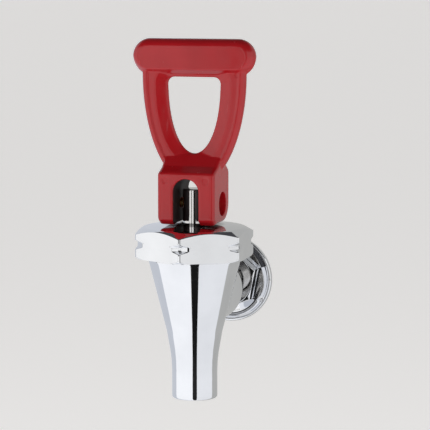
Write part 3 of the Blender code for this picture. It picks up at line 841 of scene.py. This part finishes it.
def finish_kept_nodes():
    kept = {
        "seat_cup": "clear_silicone",
        "friction_ring": "white_acetal",
        "spring": "polished_steel",
        "spring_top_washer": "stainless_steel",
        "spring_follower": "stainless_steel",
    }
    for node, finish in kept.items():
        for slot in frame["nodes"][node].material_slots:
            slot.material = MATERIALS[finish]


# Stage, light and camera --------------------------------------------------------------------

CAMERA_DEG = 17.5
CAMERA_AIM_DEG = 0.536
CAMERA_PITCH_DEG = 6.8
CAMERA_DISTANCE = 0.733
CAMERA_ABOVE = 0.0898
CAMERA_LENS = 184.2
FLOOR_Z = -0.12
CARD_Z = FLOOR_Z + 0.001
NEAR_SLIT_DEG = (-2.5, 11.5)
FAR_SLIT_DEG = (-11.0, 11.0)
CORNER_DEG = (-26.0, -33.0)
BACKING_DEG = (-110.0, 104.0)
RIGHT_DEG = (11.0, 99.0)
LEFT_DEG = (-11.0, -107.0)
RIGHT_BACK_DEG = (99.0, 182.0)
LEFT_BACK_DEG = (-107.0, -178.0)
BLACK = (0.0, 0.0, 0.0)
BOX_DISTANCE = 0.72
BOX_HEIGHT = 0.52
BOX_Z = FLOOR_Z + 0.28
FLOOR_REACH = 14.0
# Each soft box: name, degrees from the camera's side, width and power.
SOFT_BOXES = [("right_front", 33.5, 0.57, 0.79), ("right_side", 77.5, 0.57, 0.79)]
SOFT_BOXES += [("left_front", -28.5, 0.66, 1.09), ("left_side", -80.5, 0.66, 1.09)]


def polar(degrees, distance, z):
    """A place round the faucet's axis; 0 degrees is straight in front of the camera's side."""
    turn = math.radians(CAMERA_DEG + degrees)
    return Vector((distance * math.sin(turn), BONNET_TOP.y - distance * math.cos(turn), z))


def stage_mesh(name, corners, faces, colour, roughness, glow):
    mesh = bpy.data.meshes.new(name)
    mesh.from_pydata([tuple(corner) for corner in corners], [], faces)
    obj = linked(name, mesh)
    surface = Surface(name, colour, roughness)
    surface.set(Emission_Color=(*glow, 1.0), Emission_Strength=1.0)
    mesh.materials.append(surface.made)
    return obj


def reflected_card(name, near_degs, far_degs, near, far, height, glow, floor=CARD_Z):
    """A card that only reflections see: along the floor from near to far, then upright."""
    count = max(2, round(abs(far_degs[1] - far_degs[0]) / 6))
    corners, faces = [], []
    for i in range(count + 1):
        close = near_degs[0] + (near_degs[1] - near_degs[0]) * i / count
        away = far_degs[0] + (far_degs[1] - far_degs[0]) * i / count
        corners += [polar(close, near, floor), polar(away, far, floor), polar(away, far, height)]
        if i:
            a, b = 3 * i - 3, 3 * i
            faces += [(a, a + 1, b + 1, b), (a + 1, a + 2, b + 2, b + 1)]
    card = stage_mesh(name, corners, faces, BLACK, 1.0, glow)
    card.visible_camera = False
    card.visible_diffuse = False
    card.visible_shadow = False
    card.visible_transmission = False


def build_stage():
    """The floor, and dark and pale cards that give the chrome something to reflect."""
    ends = [(-1, -1), (1, -1), (1, 1), (-1, 1)]
    corners = [(x * FLOOR_REACH, y * FLOOR_REACH, FLOOR_Z) for x, y in ends]
    stage_mesh("floor", corners, [(0, 1, 2, 3)], (0.78, 0.775, 0.765), 0.75, (0.59, 0.58, 0.57))
    cards = [("slit_card", NEAR_SLIT_DEG, FAR_SLIT_DEG, 0.015, 0.70, 0.55, BLACK, CARD_Z + 0.001)]
    cards += [("backing", BACKING_DEG, BACKING_DEG, 0.81, 0.82, 0.42, BLACK)]
    cards += [("corner_card", CORNER_DEG, CORNER_DEG, 0.69, 0.70, 0.40, BLACK, FLOOR_Z + 0.05)]
    low = CARD_Z + 0.005
    cards += [("right_floor", RIGHT_DEG, RIGHT_DEG, 0.010, 0.60, low, (0.86, 0.87, 0.90))]
    cards += [("left_floor", LEFT_DEG, LEFT_DEG, 0.010, 0.60, low, (1.02, 1.03, 1.06))]
    cards += [("right_card", RIGHT_BACK_DEG, RIGHT_BACK_DEG, 0.03, 0.30, 0.30, (0.46, 0.46, 0.45))]
    cards += [("left_card", LEFT_BACK_DEG, LEFT_BACK_DEG, 0.03, 0.30, 0.30, (0.60, 0.625, 0.68))]
    for card in cards:
        reflected_card(*card)


def soft_box(name, degrees, width, power):
    light = bpy.data.lights.new(name, "AREA")
    light.shape = "RECTANGLE"
    light.size, light.size_y = width, BOX_HEIGHT
    light.energy = power
    obj = linked(name, light)
    obj.location = polar(degrees, BOX_DISTANCE, BOX_Z)
    aim = Vector((0, BONNET_TOP.y, BOX_Z)) - obj.location
    obj.rotation_euler = aim.to_track_quat("-Z", "Y").to_euler()
    obj.visible_camera = False


def build_world():
    """A pale horizon under a dark ceiling."""
    world = bpy.data.worlds.new("studio")
    bpy.context.scene.world = world
    world.use_nodes = True
    nodes, links = world.node_tree.nodes, world.node_tree.links
    direction = nodes.new("ShaderNodeTexCoord").outputs["Generated"]
    split = nodes.new("ShaderNodeSeparateXYZ")
    links.new(direction, split.inputs["Vector"])
    ramp = nodes.new("ShaderNodeValToRGB")
    stops = [(0.10, (0.78, 0.775, 0.76, 1.0)), (0.50, (0.06, 0.06, 0.065, 1.0))]
    for element, (position, colour) in zip(ramp.color_ramp.elements, stops):
        element.position = position
        element.color = colour
    links.new(split.outputs["Z"], ramp.inputs["Fac"])
    links.new(ramp.outputs["Color"], nodes["Background"].inputs["Color"])
    nodes["Background"].inputs["Strength"].default_value = 1.0


def build_camera():
    data = bpy.data.cameras.new("camera")
    data.lens = CAMERA_LENS
    data.sensor_width = 36.0
    data.clip_start, data.clip_end = 0.01, 100.0
    camera = linked("camera", data)
    camera.location = polar(0.0, CAMERA_DISTANCE, BONNET_TOP.z + CAMERA_ABOVE)
    heading = CAMERA_DEG - CAMERA_AIM_DEG
    camera.rotation_euler = (math.radians(90 - CAMERA_PITCH_DEG), 0.0, math.radians(heading))
    bpy.context.scene.camera = camera


build_camera()
for box in SOFT_BOXES:
    soft_box(*box)
build_world()
build_stage()
build_bonnet()
build_body()
build_stem()
build_shank()
build_clamp()
build_handle()
finish_kept_nodes()
bpy.context.scene.view_settings.view_transform = "Standard"
